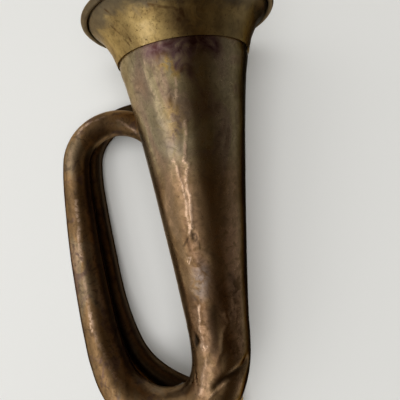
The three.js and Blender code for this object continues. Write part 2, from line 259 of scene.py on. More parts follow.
def wound_line():
    """The winding's centre line in equal steps: points, radii, and where each stretch ends."""
    per_span = 40
    lead = 12                     # how far the line runs on into the mouthpipe
    points = [bell_axis_at(BELL_TAIL - 20), bell_axis_at(BELL_TAIL)]
    for _, _, stretch in WINDING:
        points += [place(*q) for q in stretch]
    front = place(*MOUTHPIPE_FRONT)
    points.append(front + PIPE_AXIS * (lead / -PIPE_AXIS.x) * MM)
    dense = centripetal(points, per_span)[per_span:]
    lengths = np.concatenate([[0], np.cumsum(np.linalg.norm(np.diff(dense, axis=0), axis=1))])
    ends = [0.0]
    radii = [TAIL_RADIUS]
    index = 0
    for _, radius, stretch in WINDING:
        index += len(stretch) * per_span
        ends.append(lengths[index])
        radii.append(radius)
    runs = []
    stretch_rings = []
    for a, b in zip(ends, ends[1:]):
        count = max(2, round((b - a) / (TUBE_STEP * MM)))
        stretch_rings.append((len(runs), len(runs) + count))
        runs += list(np.linspace(a, b, count, endpoint=False))
    runs.append(ends[-1])
    runs = np.array(runs)
    line = np.stack([np.interp(runs, lengths, dense[:, k]) for k in range(3)], 1)
    return line, np.interp(runs, ends, radii) * MM, runs, stretch_rings


def cone_line():
    """Rings of the cone from under the garland to the tail: places and radii."""
    cone = smooth_line(CONE_OUTLINE, 8)
    under = offset_line(smooth_line(GARLAND_OUTLINE, 8), -(WALL + GAP))
    profile = cone + under
    profile.sort()
    behind = np.arange(GARLAND_OUTLINE[-1][0] + 1, BELL_TAIL, CONE_STEP)
    radii = np.interp(behind, [p[0] for p in profile], [p[1] for p in profile])
    line = np.array([bell_axis_at(b) for b in behind])
    return line, radii * MM, behind


def swept(line, radii, first_up):
    """Rings of points along a line, and each ring's two cross directions, carried along it."""
    tangents = np.gradient(line, axis=0)
    tangents /= np.linalg.norm(tangents, axis=1)[:, None]
    angles = np.linspace(0, 2 * pi, SIDES, endpoint=False)
    up = np.array(first_up)
    outwards = np.zeros((len(line), SIDES, 3))
    for i, tangent in enumerate(tangents):
        up = up - tangent * (up @ tangent)
        up /= np.linalg.norm(up)
        side = np.cross(up, tangent)
        outwards[i] = np.cos(angles)[:, None] * up + np.sin(angles)[:, None] * side
    return line[:, None, :] + outwards * radii[:, None, None], outwards


# Places on the tube: distance behind the rim's plane along the tube, then degrees round it
# (0 is up, positive towards the plain side). Most were picked by eye on the photo, and a scratch
# script worked out where they fall on this surface; the rest were placed by hand.
# Dents: place, half length, half width, depth
DENTS = [
    (78, -18, 5, 3.4, 0.3), (88, -17, 9, 2.6, 0.25), (64, -10, 6, 2.2, 0.2),
    (109, -17, 2.0, 1.7, 0.5), (112, -29, 3.2, 1.5, 0.4), (120.5, -31, 2.4, 2.4, 0.4),
    (121, -12, 5, 3.5, 0.3), (134, -20, 8, 4.2, 0.4), (141, -27, 3, 1.4, 0.4),
    (145, 34, 7, 3, 0.4), (132, 34, 6, 4, 0.3), (150, 2, 10, 3.5, 0.4),
    (161, -49, 3.2, 1.8, 1.0), (164, -34, 2.2, 2.2, 0.6), (170, -18, 6, 3, 0.5),
    (164, -80, 1.2, 1.0, 0.3), (180, -38, 4, 2.4, 0.4), (187, -35, 3, 2, 0.4),
    (42, -12, 2.0, 1.2, 0.12), (46, -14, 1.6, 1.2, 0.12), (50, -28, 5, 1.6, 0.2),
    (33, -33, 7, 2, 0.2), (95, 22, 12, 4, 0.25), (290, -70, 9, 4, 0.4), (402, -40, 5, 4, 0.4),
    (322, -10, 8, 2.5, 0.25), (352, 10, 7, 2.5, 0.3), (432, -20, 5, 4, 0.35),
]
RIGHT_STREAK = [(57, -7), (62, -7.5), (67, -9.4), (72, -11), (74, -15), (76, -9.4), (79, -13),
                (82, -15), (87, -15), (90, -13), (95, -15), (100, -15), (105, -18)]
LEFT_STREAK = [(73, -26), (77, -24.4), (82, -20.6), (87, -19), (92, -19), (98, -20.6),
               (104, -20.6), (107.5, -22.5)]
UPPER_STREAK = [(28, -34), (35, -35.6), (40, -34), (45, -30), (51, -28)]
LOWER_STREAK = [(143, -27), (147, -30), (151, -31), (155, -34), (160, -34), (165, -34)]
TAIL_STREAK = [(171, -31), (176, -36), (181, -39), (187, -36), (193, -38)]
FOLD = [(148, 17), (153, 19), (158, 6), (164, 2), (168, -4), (173, -13)]
BUCKLE = [(174, 50), (177, 26), (180, 6), (184, -9)]
BUCKLE_LIP = [(178, 34), (182, 8), (186, -8), (191, -18)]
CREASE = [(180, -62), (184, -56), (188, -50)]
# Raised creases and, with a negative height, valleys: height, half width, places
CREASES = [
    (0.16, 0.8, RIGHT_STREAK), (0.16, 0.8, LEFT_STREAK), (0.10, 0.8, UPPER_STREAK),
    (0.2, 0.9, LOWER_STREAK), (0.2, 0.9, TAIL_STREAK), (0.3, 1.3, FOLD), (-1.3, 2.4, BUCKLE),
    (0.3, 1.0, BUCKLE_LIP), (-0.35, 0.7, CREASE),
]
# Rubbed bright copper that also paints highlights along the creases and high places: strength, half width, places
WORN_AND_HIGHLIGHT_LINES = [
    (1.0, 0.8, RIGHT_STREAK), (0.9, 0.75, LEFT_STREAK), (0.55, 0.7, UPPER_STREAK),
    (0.8, 0.9, LOWER_STREAK), (0.6, 1.4, TAIL_STREAK), (0.5, 0.8, BUCKLE_LIP),
    (0.7, 0.8, [(38, -9), (42, -10), (46, -10.6)]),
    (0.9, 0.45, [(119.5, -36), (119, -26), (122.5, -32), (119.5, -36)]),
    (1.0, 1.0, [(164, -38), (166, -33), (164, -26)]), (0.8, 0.8, [(164, -82), (164, -80)]),
    (0.6, 1.5, [(255, -50), (275, -40), (285, -24), (303, -20), (318, -23)]),
    (0.95, 1.2, [(328, -24), (350, -30), (361, -31)]), (0.5, 1.0, [(366, -34), (376, -40)]),
    (0.6, 0.9, [(290, -14), (299, -17)]), (0.6, 0.8, [(262, -44), (268, -38)]),
    (0.5, 1.2, [(398, 4), (404, 6), (412, -8)]), (0.9, 0.9, [(418, -30), (424, -52), (430, -70)]),
    (0.8, 0.8, [(396, -2), (403, 6)]),
]
# Dark marks, partly pits, strokes and stains and partly painted shade and a painted dark reflection: strength,
# half width, places
DARK_MARKS_AND_SHADE = [
    (0.9, 0.45, [(109.5, -25), (111, -28), (113.5, -34)]), (0.8, 0.4, [(112, -13), (115, -11)]),
    (0.8, 0.5, [(108, -19), (110.5, -19), (111, -15), (108.5, -14), (108, -19)]),
    (0.8, 1.8, [(160, -49), (163, -49)]), (0.6, 0.6, [(138, -33), (143, -27)]),
    # The buckle's dark line is painted shade in its hollow
    (0.8, 1.5, BUCKLE), (0.7, 0.5, CREASE), (0.4, 1.0, [(116, -4), (118, 2), (119, 6)]),
    (0.5, 2.2, [(130, 28), (134, 33), (140, 34)]), (0.35, 1.4, [(69, -14), (70, -13)]),
    # The first is a painted dark reflection along the cone's top near the tail
    (0.6, 3.2, [(146, -8), (156, -10), (167, -11)]), (0.6, 1.8, [(161, -50), (166, -52)]),
]
# Lighter pink patches: strength, half width, places
BLUSHES = [
    (0.8, 4.0, [(80, -20), (90, -17), (104, -17)]), (0.6, 5.0, [(112, -14), (122, -16)]),
    (0.65, 4.5, [(146, -27), (156, -27), (170, -30), (190, -36)]),
    (0.6, 4.5, [(84, 40), (110, 40), (135, 36)]), (0.9, 6.0, [(112, 32), (140, 32), (166, 30)]),
]
GOLD_SPOTS = [
    (1.0, 3.0, [(30, -16), (33, -11), (35, -7)]), (0.4, 4.5, [(53, -19), (61, -18)]),
]
# The dark purple stain under the garland, with its runs
STAINS = [
    (1.0, 5.5, [(25, -28), (25, -12), (25, 4), (24, 22)]), (0.9, 1.2, [(29, -7), (35, -7)]),
    (0.8, 1.1, [(29, -3), (36, -3)]), (0.7, 1.8, [(29, 3), (37, 4)]),
    (0.5, 2.5, [(26, 24), (32, 30)]),
]
GREY_PATCHES = [(0.6, 4.0, [(126, -16), (136, -21)]), (0.5, 6.0, [(58, -24), (66, -22)])]


def near_line(places, distance, radii, sway):
    """Each point's distance from a line of places, in millimetres along the surface."""
    angles = np.linspace(0, 2 * pi, SIDES, endpoint=False)
    angles = np.where(angles > pi, angles - 2 * pi, angles)[None, :]
    radius = radii[:, None] / MM
    nearest = np.full((len(distance), SIDES), 1e3)
    for (run_a, turn_a), (run_b, turn_b) in zip(places, places[1:]):
        along = distance[:, None] - run_a
        across = (angles - radians(turn_a)) * radius + sway
        step_along = run_b - run_a
        step_across = radians(turn_b - turn_a) * radius
        share = along * step_along + across * step_across
        share = np.clip(share / (step_along ** 2 + step_across ** 2 + 1e-6), 0, 1)
        gap = np.hypot(along - share * step_along, across - share * step_across)
        nearest = np.minimum(nearest, gap)
    return nearest


def line_sum(lines, distance, radii, sway):
    """The strength of a set of lines at every point of the surface."""
    total = np.zeros((len(distance), SIDES))
    for strength, half_width, places in lines:
        gap = near_line(places, distance, radii, sway)
        total += strength * np.exp(-(gap / half_width) ** 2)
    return total


def dent_depths(distance, radii, sway):
    """How far each point of the surface stands in from its true round, in millimetres."""
    depth = -line_sum(CREASES, distance, radii, sway)
    angles = np.degrees(np.linspace(0, 2 * pi, SIDES, endpoint=False))
    angles = np.where(angles > 180, angles - 360, angles)[None, :]
    radius = radii[:, None] / MM
    for at, turn, half_length, half_width, deep in DENTS:
        across = np.radians(angles - turn) * radius
        along = distance[:, None] - at
        depth += deep * np.exp(-(along / half_length) ** 2 - (across / half_width) ** 2)
    return depth


def waves(distance, radii, size, along, across):
    """Smooth noise over the surface: how high, how long and how wide its waves are, in mm."""
    angles = np.linspace(0, 2 * pi, SIDES, endpoint=False)
    height = np.zeros((len(distance), SIDES))
    for i, (run, radius) in enumerate(zip(distance, radii / MM / across)):
        for k, angle in enumerate(angles):
            spot = Vector((run / along, cos(angle) * radius, sin(angle) * radius))
            height[i, k] = noise.noise(spot)
    return size * height


LOOP_START = 195                  # where the cone's look begins to pass into the loops'
LOOP_BLEND = 45                   # and over what length
GARLAND_BLEND = 4                 # behind the garland, where the dents come in
# Noise: how high, how long and how wide its waves are
MARK_SWAY = (0.9, 4.5, 6)         # moves the dents and marks about
LONG_WAVES = (0.16, 30, 8)        # moves the surface itself
SHORT_WAVES = (0.05, 9, 3.4)


def tube_surface():
    """The whole tube: outer and inner grids, normals, marks by name, and each piece's rings."""
    cone_points, cone_radii, behind = cone_line()
    line, radii, runs, stretch_rings = wound_line()
    all_points = np.concatenate([cone_points, line])
    all_radii = np.concatenate([cone_radii, radii])
    distance = np.concatenate([behind, BELL_TAIL + runs / MM])
    grid, outwards = swept(all_points, all_radii, basis(BELL_AXIS)[0])
    behind_garland = distance - GARLAND_REAR - 1
    clear_of_garland = np.clip(behind_garland / GARLAND_BLEND, 0, 1)[:, None]
    sway = waves(distance, all_radii, *MARK_SWAY)
    depth = (dent_depths(distance, all_radii, sway) + waves(distance, all_radii, *LONG_WAVES)
             + waves(distance, all_radii, *SHORT_WAVES)) * clear_of_garland
    grid -= outwards * depth[:, :, None] * MM
    normals = grid_normals(grid)
    inner = grid - normals * WALL * MM
    first = len(cone_points)
    spans = {"bell_cone": (0, first + 1, 1)}
    for (name, _, _), (start, end) in zip(WINDING, stretch_rings):
        spans[name] = (first + start, first + end + 1, SIDE_STEP.get(name, THIN_SIDE_STEP))
    marks = {
        # worn is rubbed copper and painted highlight; dark is dark marks, painted shade and a painted dark
        # reflection
        "worn": line_sum(WORN_AND_HIGHLIGHT_LINES, distance, all_radii, sway),
        "dark": line_sum(DARK_MARKS_AND_SHADE, distance, all_radii, sway),
        "blush": line_sum(BLUSHES, distance, all_radii, sway),
        "grey": line_sum(GREY_PATCHES, distance, all_radii, sway),
        "gold": line_sum(GOLD_SPOTS, distance, all_radii, sway),
        "stain": line_sum(STAINS, distance, all_radii, sway),
        "loop": np.repeat(np.clip((distance - LOOP_START) / LOOP_BLEND, 0, 1)[:, None], SIDES, 1),
    }
    return grid, inner, normals, marks, spans


# ---- Materials ----

# Tints of a metal seen at a slant: the first is the metal's own, the other two are painted shade in the
# reflections of flanks and edges
SLANTED_EDGE = (0.72, 0.62, 0.50)
EDGE_TINT_IN_SHADE = (0.11, 0.095, 0.065)
EDGE_TINT_IN_DEEP_SHADE = (0.05, 0.035, 0.025)


class Finish:
    """A node material under construction."""

    def __init__(self, name):
        self.material = bpy.data.materials.new(name)
        self.material.use_nodes = True
        self.tree = self.material.node_tree
        self.shader = self.tree.nodes["Principled BSDF"]
        places = self.node("ShaderNodeTexCoord")
        self.coordinates = places.outputs["Object"]
        self.normal = places.outputs["Normal"]

    def node(self, kind, inputs=(), **settings):
        made = self.tree.nodes.new(kind)
        for name, value in settings.items():
            setattr(made, name, value)
        for key, value in dict(inputs).items():
            self.put(made.inputs[key], value)
        return made

    def put(self, socket, value):
        if isinstance(value, bpy.types.NodeSocket):
            self.tree.links.new(value, socket)
        else:
            socket.default_value = value

    def maths(self, operation, a, b=0.0, clamp=False):
        return self.node("ShaderNodeMath", {0: a, 1: b}, operation=operation,
                         use_clamp=clamp).outputs[0]

    def stretched(self, scale):
        """Object coordinates, scaled by a different amount along each axis."""
        return self.node("ShaderNodeMapping", {"Vector": self.coordinates, "Scale": scale}
                         ).outputs["Vector"]

    def facing(self, axis):
        """How far the surface faces along a world axis, from -1 to 1."""
        return self.node("ShaderNodeSeparateXYZ", {0: self.normal}).outputs[axis]

    def near(self, start, end, half_width):
        """1 on a straight line between two places, falling to 0 at its half width in metres."""
        run = end - start
        relative = self.node("ShaderNodeVectorMath", {0: self.coordinates, 1: start},
                             operation="SUBTRACT").outputs[0]
        along = self.node("ShaderNodeVectorMath", {0: relative, 1: run / run.length_squared},
                          operation="DOT_PRODUCT").outputs["Value"]
        along = self.maths("MULTIPLY", along, 1.0, clamp=True)
        foot = self.node("ShaderNodeVectorMath", {0: run, "Scale": along},
                         operation="SCALE").outputs[0]
        gap = self.node("ShaderNodeVectorMath", {0: relative, 1: foot},
                        operation="DISTANCE").outputs["Value"]
        return self.band(gap, half_width, 0.2 * half_width)

    def mark(self, name):
        """A mark's strength, as the tube's surface carries it."""
        return self.node("ShaderNodeAttribute", attribute_name=name).outputs["Fac"]

    def cloud(self, scale, detail=4.0, distortion=0.0, roughness=0.55, coordinates=None):
        vector = coordinates or self.coordinates
        return self.node("ShaderNodeTexNoise", {
            "Vector": vector, "Scale": scale, "Detail": detail,
            "Roughness": roughness, "Distortion": distortion}).outputs["Fac"]

    def ramp(self, factor, stops):
        made = self.node("ShaderNodeValToRGB", {"Fac": factor})
        elements = made.color_ramp.elements
        while len(elements) < len(stops):
            elements.new(0.5)
        for element, (position, colour) in zip(elements, stops):
            element.position = position
            grey = isinstance(colour, (int, float))
            element.color = (colour, colour, colour, 1) if grey else (*colour, 1)
        return made.outputs["Color"]

    def mix(self, factor, a, b, blend="MIX"):
        made = self.node("ShaderNodeMix", data_type="RGBA", blend_type=blend)
        for socket, value in ((made.inputs[0], factor), (made.inputs[6], a), (made.inputs[7], b)):
            if isinstance(value, tuple):
                value = (*value, 1)
            self.put(socket, value)
        return made.outputs[2]

    def band(self, value, low, high):
        """0 below low, 1 above high, smooth between; low may be the greater."""
        made = self.node("ShaderNodeMapRange", {"Value": value}, interpolation_type="SMOOTHSTEP")
        if low < high:
            self.put(made.inputs["From Min"], low)
            self.put(made.inputs["From Max"], high)
        else:
            self.put(made.inputs["From Min"], high)
            self.put(made.inputs["From Max"], low)
            self.put(made.inputs["To Min"], 1.0)
            self.put(made.inputs["To Max"], 0.0)
        return made.outputs["Result"]

    def along_bell(self):
        """Millimetres behind the rim's plane."""
        relative = self.node("ShaderNodeVectorMath", {0: self.coordinates, 1: RIM_CENTRE},
                             operation="SUBTRACT").outputs[0]
        along = self.node("ShaderNodeVectorMath", {0: relative, 1: BELL_AXIS},
                          operation="DOT_PRODUCT").outputs["Value"]
        return self.maths("MULTIPLY", along, -1 / MM)

    def height(self, values, strength):
        """Bump from a sum of heights in millimetres."""
        total = values[0]
        for value in values[1:]:
            total = self.maths("ADD", total, value)
        bump = self.node("ShaderNodeBump", {"Height": total, "Distance": MM,
                                            "Strength": strength})
        self.put(self.shader.inputs["Normal"], bump.outputs["Normal"])

    def finish(self, colour, roughness, metallic=1.0, edge=(*SLANTED_EDGE, 1)):
        """The shader's own settings; edge is a metal's tint where it is seen at a slant."""
        self.put(self.shader.inputs["Base Color"], colour)
        self.put(self.shader.inputs["Roughness"], roughness)
        self.put(self.shader.inputs["Metallic"], metallic)
        self.put(self.shader.inputs["Specular Tint"], edge)
        return self.material


# Copper, from tarnished to rubbed bright; the brightest also serves as painted highlight
OLIVE = (0.30, 0.228, 0.125)
BROWN = (0.27, 0.165, 0.08)
DARK_BROWN = (0.11, 0.06, 0.028)
GREY_PINK = (0.34, 0.24, 0.16)
PINK_COPPER = (0.48, 0.29, 0.175)
BURNISHED_AND_HIGHLIGHT = (0.70, 0.47, 0.32)
# The stain under the garland, its gold spots, and the dark marks, partly pits and partly painted shade and a
# painted dark reflection
PURPLE = (0.17, 0.098, 0.092)
WINE = (0.085, 0.034, 0.034)
GOLD = (0.50, 0.31, 0.07)
GRIME_AND_SHADE = (0.035, 0.022, 0.014)
GREY_BLOOM = (0.33, 0.27, 0.24)
# Painted shade on the tops and loop sides of the tubes lying under their neighbours
UNDER_NEIGHBOUR_SHADE = (0.012, 0.008, 0.006)
# Painted shade where the surface turns away from the light, and on the loop tubes' edges towards the loop side
SHADED = (0.085, 0.058, 0.042)
CONE_FLANK_SHADE = (0.06, 0.05, 0.034)
LOOP_FLANK_SHADE = (0.035, 0.025, 0.018)
SHADOWED_TUBE_FLANK_SHADE = (0.16, 0.115, 0.08)
LOOP_EDGE_SHADE = (0.085, 0.058, 0.052)


def cone_patches(f):
    """The cone's tarnish: olive and grey blotches in front, handled copper towards the tail."""
    patches = f.cloud(44, 5, 1.1, coordinates=f.stretched((0.45, 1.0, 1.0)))
    olive = f.ramp(patches, [(0.30, DARK_BROWN), (0.40, (0.27, 0.185, 0.12)), (0.47, OLIVE),
                             (0.54, (0.37, 0.29, 0.17)), (0.62, GREY_PINK), (0.75, PINK_COPPER)])
    handled = f.ramp(patches, [(0.28, DARK_BROWN), (0.42, (0.19, 0.105, 0.05)), (0.5, BROWN),
                               (0.6, (0.33, 0.21, 0.115)), (0.72, PINK_COPPER)])
    front = f.maths("ADD", f.along_bell(), f.maths("MULTIPLY", patches, 40.0))
    return f.mix(f.band(front, 84, 108), olive, handled)


def tube_patches(f):
    """The winding's tarnish: warm brown, with dark and purple blots and rubbed pink patches, and painted shade on
    its undersides.
    """
    patches = f.cloud(48, 5, 0.9, coordinates=f.stretched((0.4, 1.0, 1.0)))
    colour = f.ramp(patches, [(0.28, (0.14, 0.08, 0.04)), (0.42, (0.25, 0.15, 0.07)),
                              (0.50, (0.33, 0.195, 0.09)), (0.58, (0.30, 0.215, 0.125)),
                              (0.68, (0.42, 0.27, 0.165))])
    purple = f.band(f.cloud(75, 4, 1.2), 0.54, 0.64)
    colour = f.mix(f.maths("MULTIPLY", purple, 0.6), colour, (0.15, 0.09, 0.085))
    blots = f.band(f.cloud(130, 4, 1.6), 0.56, 0.66)
    colour = f.mix(f.maths("MULTIPLY", blots, 0.55), colour, (0.09, 0.055, 0.04))
    # Painted shade where the loops face down
    underside_shade = f.maths("MULTIPLY", f.band(f.facing("Z"), 0.5, 0.1), f.mark("loop"))
    return f.mix(f.maths("MULTIPLY", underside_shade, 0.6), colour, SHADED)


def copper_finish(name, cone=False, shade=1.0):
    """Old copper: tarnish in patches, worn pink, stained, rubbed bright on its creases where it also paints
    highlights, and painted shade on its flanks, edges and the tubes in shadow.
    """
    f = Finish(name)
    loop = f.mark("loop")
    colour = cone_patches(f)
    if not cone:
        colour = f.mix(loop, colour, tube_patches(f))
    drift = f.cloud(240, 4, 1.0)
    blush = f.maths("MULTIPLY", f.mark("blush"), f.band(drift, 0.35, 0.6), clamp=True)
    colour = f.mix(blush, colour, PINK_COPPER)
    grey = f.maths("MULTIPLY", f.mark("grey"), f.band(drift, 0.3, 0.6), clamp=True)
    colour = f.mix(grey, colour, GREY_BLOOM)
    gold = f.maths("MULTIPLY", f.mark("gold"), f.band(drift, 0.38, 0.55), clamp=True)
    colour = f.mix(gold, colour, GOLD)
    mottle = f.cloud(300, 7, 0.9, 0.72)
    colour = f.mix(0.8, colour, f.ramp(mottle, [(0.32, 0.5), (0.5, 1.0), (0.68, 1.25)]),
                   "MULTIPLY")
    stain_colour = f.ramp(f.cloud(150, 4, 0.9), [(0.42, WINE), (0.54, PURPLE), (0.70, GREY_PINK)])
    stain = f.maths("MULTIPLY", f.mark("stain"), f.band(drift, 0.05, 0.4), clamp=True)
    colour = f.mix(stain, colour, stain_colour)
    facing = f.facing("Y")
    # Painted shade on the plain-side flank, which turns away from the light
    flank = f.band(facing, -0.5, -0.84)
    flank_colour = f.mix(loop, CONE_FLANK_SHADE, LOOP_FLANK_SHADE if shade == 1 else SHADOWED_TUBE_FLANK_SHADE)
    colour = f.mix(f.maths("MULTIPLY", flank, 0.85), colour, flank_colour)
    # Painted shade on the loop tubes' edges towards the loop side
    loop_side_shade = f.maths("MULTIPLY", f.band(facing, 0.6, 0.9), loop)
    colour = f.mix(f.maths("MULTIPLY", loop_side_shade, 0.75), colour, LOOP_EDGE_SHADE)
    # Rubbed bright copper along the creases, also a painted highlight there
    broken = f.band(f.cloud(420, 3, 0.8), 0.38, 0.56)
    worn = f.maths("MULTIPLY", f.band(f.mark("worn"), 0.15, 0.95), f.maths(
        "ADD", f.maths("MULTIPLY", broken, 0.8), 0.15))
    colour = f.mix(worn, colour, BURNISHED_AND_HIGHLIGHT)
    # Dark pits and the dark marks, which are partly painted shade and a painted dark reflection
    spots = f.band(f.cloud(900, 2, 0.0), 0.66, 0.72)
    dark = f.maths("MULTIPLY", f.mark("dark"), f.maths("ADD", drift, 0.45))
    colour = f.mix(f.maths("MAXIMUM", f.maths("MULTIPLY", spots, 0.5), dark, clamp=True),
                   colour, GRIME_AND_SHADE)
    # A darker copy for the tubes in shadow: painted shade, darkest on their tops and loop sides under their
    # neighbours
    if shade < 1:
        colour = f.mix(1.0, colour, (shade, shade, shade), "MULTIPLY")
        shade_under_neighbour = f.maths("MULTIPLY", f.band(facing, -0.45, -0.1), 0.6)
        colour = f.mix(shade_under_neighbour, colour, UNDER_NEIGHBOUR_SHADE)
    dull = f.ramp(mottle, [(0.3, 0.38), (0.7, 0.22)])
    dull = f.mix(loop, dull, f.ramp(mottle, [(0.3, 0.48), (0.7, 0.32)]))
    roughness = f.maths("SUBTRACT", dull, f.maths("MULTIPLY", worn, 0.14))
    f.height([f.maths("MULTIPLY", mottle, 0.05), f.maths("MULTIPLY", spots, -0.03)], 0.35)
    # Painted shade in the reflections of the plain-side flank and the loop tubes' loop-side edges, darker still on
    # the tubes in shadow
    flank_edge = f.mix(loop, EDGE_TINT_IN_SHADE, EDGE_TINT_IN_DEEP_SHADE)
    slanted = f.mix(loop_side_shade, tuple(shade * part for part in SLANTED_EDGE), EDGE_TINT_IN_SHADE)
    edge = f.mix(flank, slanted, flank_edge)
    return f.finish(colour, roughness, edge=edge)


def on_bell(behind, turn, radius):
    """A place on the bell: millimetres behind the rim, degrees towards the plain side, radius."""
    up, side = basis(BELL_AXIS)
    out = up * cos(radians(turn)) + side * sin(radians(turn))
    return bell_axis_at(behind) + out * radius * MM


# Scratches and brown spots on the garland: two places each, half width
SCRATCHES = [
    ((5, -47, 42.3), (19, -40, 34.2), 0.8), ((10, -52, 38.3), (20, -43, 34), 0.7),
    ((9, -18, 39), (12.5, 0, 37.1), 1.0), ((12.5, 1, 37.1), (14.5, 4, 36), 2.2),
    ((16, 0, 35.3), (16.4, 1, 35.2), 1.6), ((4.2, -4, 43.6), (6, 10, 41.4), 2.0),
]


def brass_finish(name, garland=False):
    """Old brass: ochre with brown tarnish and dark pits, and on the garland painted shade on its plain-side flank.
    """
    f = Finish(name)
    patches = f.cloud(70, 5, 0.5)
    colour = f.ramp(patches, [(0.28, (0.16, 0.095, 0.035)), (0.43, (0.34, 0.225, 0.085)),
                              (0.58, (0.45, 0.31, 0.12)), (0.75, (0.55, 0.40, 0.19))])
    mottle = f.cloud(420, 7, 0.5, 0.72)
    colour = f.mix(0.7, colour, f.ramp(mottle, [(0.32, 0.45), (0.5, 1.0), (0.7, 1.25)]), "MULTIPLY")
    pits = f.band(f.cloud(1100, 2, 0.0), 0.63, 0.7)
    colour = f.mix(f.maths("MULTIPLY", pits, 0.7), colour, (0.09, 0.05, 0.02))
    edge = (*SLANTED_EDGE, 1)
    if garland:
        wander = f.maths("MULTIPLY", f.maths("SUBTRACT", f.cloud(110, 4, 1.0), 0.5), 16.0)
        near_rim = f.band(f.maths("ADD", f.along_bell(), wander), 13.0, 5.0)
        colour = f.mix(f.maths("MULTIPLY", near_rim, 0.8), colour, (0.105, 0.085, 0.065))
        smudge = f.near(on_bell(3, 6, 43), on_bell(16, 5, 35), 0.011)
        smudge = f.maths("MULTIPLY", smudge, f.band(f.cloud(140, 4, 1.0), 0.35, 0.6))
        colour = f.mix(f.maths("MULTIPLY", smudge, 0.75), colour, (0.11, 0.06, 0.03))
        for start, end, half_width in SCRATCHES:
            scratch = f.near(on_bell(*start), on_bell(*end), half_width * MM)
            scratch = f.maths("MULTIPLY", scratch, f.band(f.cloud(260, 3, 1.0), 0.35, 0.55))
            colour = f.mix(f.maths("MULTIPLY", scratch, 0.75), colour, (0.10, 0.045, 0.018))
        # Painted shade on the garland's plain-side flank, in its colour and its reflections' tint
        flank = f.band(f.facing("Y"), -0.35, -0.75)
        colour = f.mix(f.maths("MULTIPLY", flank, 0.75), colour, (0.075, 0.062, 0.045))
        edge = f.mix(flank, SLANTED_EDGE, EDGE_TINT_IN_SHADE)
    roughness = f.ramp(mottle, [(0.3, 0.45), (0.6, 0.3)])
    f.height([f.maths("MULTIPLY", mottle, 0.06), f.maths("MULTIPLY", pits, -0.08)], 0.4)
    return f.finish(colour, roughness, edge=edge)


def solder_finish():
    """Dull grey solder with brown edges."""
    f = Finish("dull solder")
    mottle = f.cloud(380, 5, 0.6)
    colour = f.ramp(mottle, [(0.3, (0.10, 0.075, 0.055)), (0.5, (0.22, 0.20, 0.175)),
                             (0.7, (0.33, 0.31, 0.28))])
    f.height([f.maths("MULTIPLY", mottle, 0.12)], 0.5)
    return f.finish(colour, f.ramp(mottle, [(0.3, 0.62), (0.7, 0.42)]), 0.9)


def silver_finish():
    """Silver plate, tarnished yellow in the hollows of its own clouding."""
    f = Finish("silver plate")
    clouds = f.cloud(150, 4, 0.8)
    colour = f.ramp(clouds, [(0.3, (0.34, 0.27, 0.17)), (0.48, (0.58, 0.54, 0.46)),
                             (0.65, (0.72, 0.70, 0.66))])
    scratches = f.cloud(700, 3, 0.0, coordinates=f.stretched((0.2, 1, 1)))
    f.height([f.maths("MULTIPLY", scratches, 0.02)], 0.25)
    return f.finish(colour, f.ramp(clouds, [(0.3, 0.34), (0.65, 0.18)]))


COPPER = copper_finish("copper tube")
# The same copper darkened as painted shade, for the tubes lying under their neighbours
SHADOWED_COPPER = copper_finish("copper tube in painted shade", shade=0.45)
CONE_COPPER = copper_finish("copper cone", cone=True)
GARLAND_BRASS = brass_finish("garland brass", garland=True)
BRASS = brass_finish("fitting brass")
SOLDER = solder_finish()
SILVER = silver_finish()

# ---- Cone and winding ----
# Tubes lying under their neighbours, given the copper in painted shade
TUBES_IN_SHADE = ("rear_bow_1", "lower_branch_1", "middle_branch", "front_bow_1")


def tube_finish(node):
    if node == "bell_cone":
        return CONE_COPPER
    return SHADOWED_COPPER if node in TUBES_IN_SHADE else COPPER


def tube_pieces():
    """The one surface cut into its pieces, each carrying its own share of the marks."""
    outer, inner, normals, marks, spans = tube_surface()
    for node, (start, end, step) in spans.items():
        outside = outer[start:end, ::step]
        inside = inner[start:end, ::step][::-1]
        facing = normals[start:end, ::step]
        piece = loft(f"{node}_skin", np.concatenate([outside, inside]), "bugle",
                     tube_finish(node), np.concatenate([facing, -facing[::-1]]))
        for mark, strength in marks.items():
            shown = strength[start:end, ::step]
            attribute = piece.data.attributes.new(mark, "FLOAT", "POINT")
            both = np.concatenate([shown, shown[::-1]])
            attribute.data.foreach_set("value", both.ravel().astype(np.float32))
        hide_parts(node)


tube_pieces()


# ---- Garland with its rolled rim ----
def garland_outline():
    outside = smooth_line([(-a, r) for a, r in GARLAND_OUTLINE], 6)
    bead = []
    lining = []
    hollow = BEAD_RADIUS - WALL + 0.1
    for turn in range(-75, 226, 12):
        angle = radians(turn)
        bead.append((-BEAD_RADIUS + BEAD_RADIUS * cos(angle),
                     RIM_RADIUS - BEAD_RADIUS + BEAD_RADIUS * sin(angle)))
        lining.append((-BEAD_RADIUS + hollow * cos(angle),
                       RIM_RADIUS - BEAD_RADIUS + hollow * sin(angle)))
    under = offset_line(outside, WALL)
    return under + bead + lining[::-1] + outside[::-1]


GARLAND_WAVES = ((0.22, 16), (0.07, 5))   # how high and how long its waves are
GARLAND_INSET = 0.1               # how far in it stands


def garland():
    """The garland, a little out of round."""
    grid = turned(garland_outline(), SIDES, RIM_CENTRE, BELL_AXIS)
    for ring in grid:
        for point in ring:
            spot = Vector(point) / MM
            sway = sum(high * noise.noise(spot / long) for high, long in GARLAND_WAVES)
            radial = spot - RIM_CENTRE / MM
            radial -= BELL_AXIS * radial.dot(BELL_AXIS)
            point += np.array(radial.normalized()) * (sway - GARLAND_INSET) * MM
    piece = loft("garland_skin", grid, "bugle", GARLAND_BRASS)
    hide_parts("bell_garland")


garland()


# ---- Turned fittings on the mouthpipe's axis ----
PIPE_START = place(*MOUTHPIPE_FRONT)
PIPE_RADII = (6.1, 5.2)           # at the mouthpipe's front and its rear
TURNED_SIDES = 64
